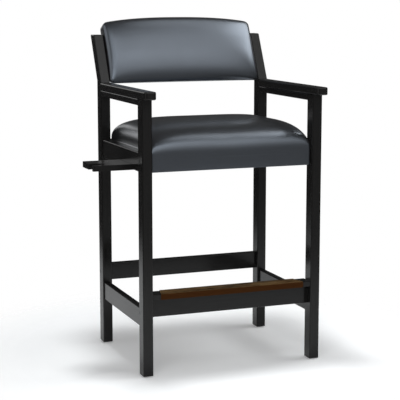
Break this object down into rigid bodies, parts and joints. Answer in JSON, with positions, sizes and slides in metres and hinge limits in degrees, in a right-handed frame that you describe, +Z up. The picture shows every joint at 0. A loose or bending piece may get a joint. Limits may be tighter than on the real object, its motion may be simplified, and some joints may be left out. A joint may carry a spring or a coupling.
{
  "type": "billiard spectator chair",
  "caption": "Bar-height hardwood spectator chair with a padded seat and arched back, arms, a metal-faced foot rail and a forked cue rest that slides out from under the seat.",
  "frame": {"origin": "on the floor, under the middle of the whole chair's box with the cue rest out", "axes": "+Z up, -Y to the front of the chair, +X to the right as seen from the front; the cue rest is on -X"},
  "size_m": [0.7326, 0.6045, 1.1107],
  "materials": {
    "espresso_lacquer": "satin",
    "charcoal_vinyl": "satin",
    "bronze_plate": "satin",
    "blackened_plywood": "matte",
    "bare_hardwood": "matte",
    "blackened_steel": "satin",
    "zinc_plated_steel": "satin",
    "black_nylon": "matte"
  },
  "bodies": {
    "frame": {"front_leg_left": "espresso_lacquer", "front_leg_right": "espresso_lacquer", "rear_leg_left": "espresso_lacquer", "rear_leg_right": "espresso_lacquer", "arm_cap_left": "espresso_lacquer", "arm_cap_right": "espresso_lacquer", "arm_rail_left": "espresso_lacquer", "arm_rail_right": "espresso_lacquer", "side_rail_left": "espresso_lacquer", "side_rail_right": "espresso_lacquer", "side_stretcher_left": "espresso_lacquer", "side_stretcher_right": "espresso_lacquer", "front_seat_rail": "espresso_lacquer", "rear_seat_rail": "espresso_lacquer", "rear_stretcher": "espresso_lacquer", "foot_rail": "espresso_lacquer", "foot_tread": "espresso_lacquer", "foot_plate": "bronze_plate", "seat_deck": "blackened_plywood", "seat_cushion": "charcoal_vinyl", "corner_block_front_left": "bare_hardwood", "corner_block_front_right": "bare_hardwood", "corner_block_rear_left": "bare_hardwood", "corner_block_rear_right": "bare_hardwood", "back_board": "blackened_plywood", "back_cushion": "charcoal_vinyl", "back_rear_panel": "charcoal_vinyl", "cue_rest_runner_front": "bare_hardwood", "cue_rest_runner_rear": "bare_hardwood", "glide_front_left": "black_nylon", "glide_front_right": "black_nylon", "glide_rear_left": "black_nylon", "glide_rear_right": "black_nylon", "front_seat_rail_screw_left": "blackened_steel", "front_seat_rail_screw_right": "blackened_steel", "foot_rail_screw_left": "blackened_steel", "foot_rail_screw_right": "blackened_steel", "rear_seat_rail_screw_left": "blackened_steel", "rear_seat_rail_screw_right": "blackened_steel", "rear_stretcher_screw_left": "blackened_steel", "rear_stretcher_screw_right": "blackened_steel", "back_screw_lower_left": "blackened_steel", "back_screw_lower_right": "blackened_steel", "back_screw_upper_left": "blackened_steel", "back_screw_upper_right": "blackened_steel", "seat_screw_front_left": "zinc_plated_steel", "seat_screw_front_right": "zinc_plated_steel", "seat_screw_rear_left": "zinc_plated_steel", "seat_screw_rear_right": "zinc_plated_steel"},
    "cue_rest": {"cue_rest_board": "espresso_lacquer", "cue_rest_stop": "bare_hardwood"}
  },
  "joints": [
    {"name": "cue_rest_slide", "type": "slide", "parent": "frame", "child": "cue_rest", "axis": [1, 0, 0], "range_m": [0, 0.11]}
  ]
}
